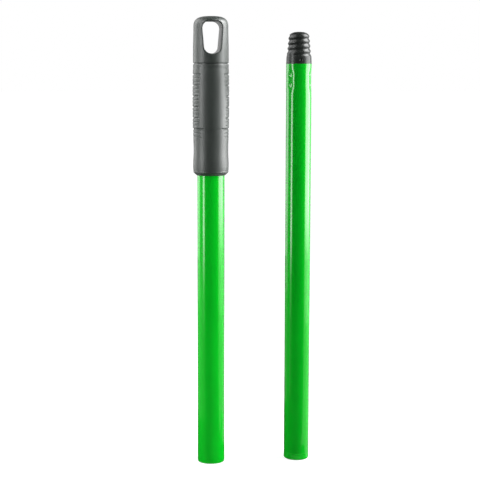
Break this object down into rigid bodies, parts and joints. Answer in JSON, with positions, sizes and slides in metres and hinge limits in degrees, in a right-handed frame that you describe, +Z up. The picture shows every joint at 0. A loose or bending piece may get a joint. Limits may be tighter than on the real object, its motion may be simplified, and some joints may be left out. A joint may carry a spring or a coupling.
{
  "type": "roller extension pole",
  "caption": "Extension pole for a paint roller, in sections drawn apart: green coated tubes, a dark moulded grip with a hanging eye, a screw tip and an eccentric twist lock.",
  "frame": {"origin": "centre of the mouth of the handle tube, on the surface that both sections stand on", "axes": "+Z up the handle's axis to the hanging eye, +X from the handle section to the head section, -Y the front that the eye is seen through"},
  "size_m": [0.1074, 0.0328, 0.4045],
  "materials": {
    "tube_steel": "bare rolled steel",
    "green_coating": "glossy extruded plastic coating",
    "grip_plastic": "satin moulded polypropylene",
    "tip_plastic": "satin moulded nylon",
    "lock_plastic": "smooth moulded plastic",
    "zinc_steel": "zinc plated"
  },
  "bodies": {
    "handle": {"handle_tube": "tube_steel", "handle_coating": "green_coating", "grip_sleeve": "grip_plastic", "hanging_cap": "grip_plastic"},
    "head": {"head_tube": "tube_steel", "head_coating": "green_coating", "threaded_tip": "tip_plastic", "lock_plug": "lock_plastic", "lock_washer": "zinc_steel", "lock_screw": "zinc_steel"},
    "lock": {"lock_shoe": "lock_plastic"}
  },
  "joints": [
    {"name": "head_slide", "type": "slide", "parent": "handle", "child": "head", "axis": [0, 0, 1], "range_m": [0, 0.28]},
    {"name": "lock_twist", "type": "hinge", "parent": "head", "child": "lock", "pos_m": [0.0795, 0.0004, 0.004], "axis": [0, 0, 1], "range_deg": [-90, 90]}
  ]
}
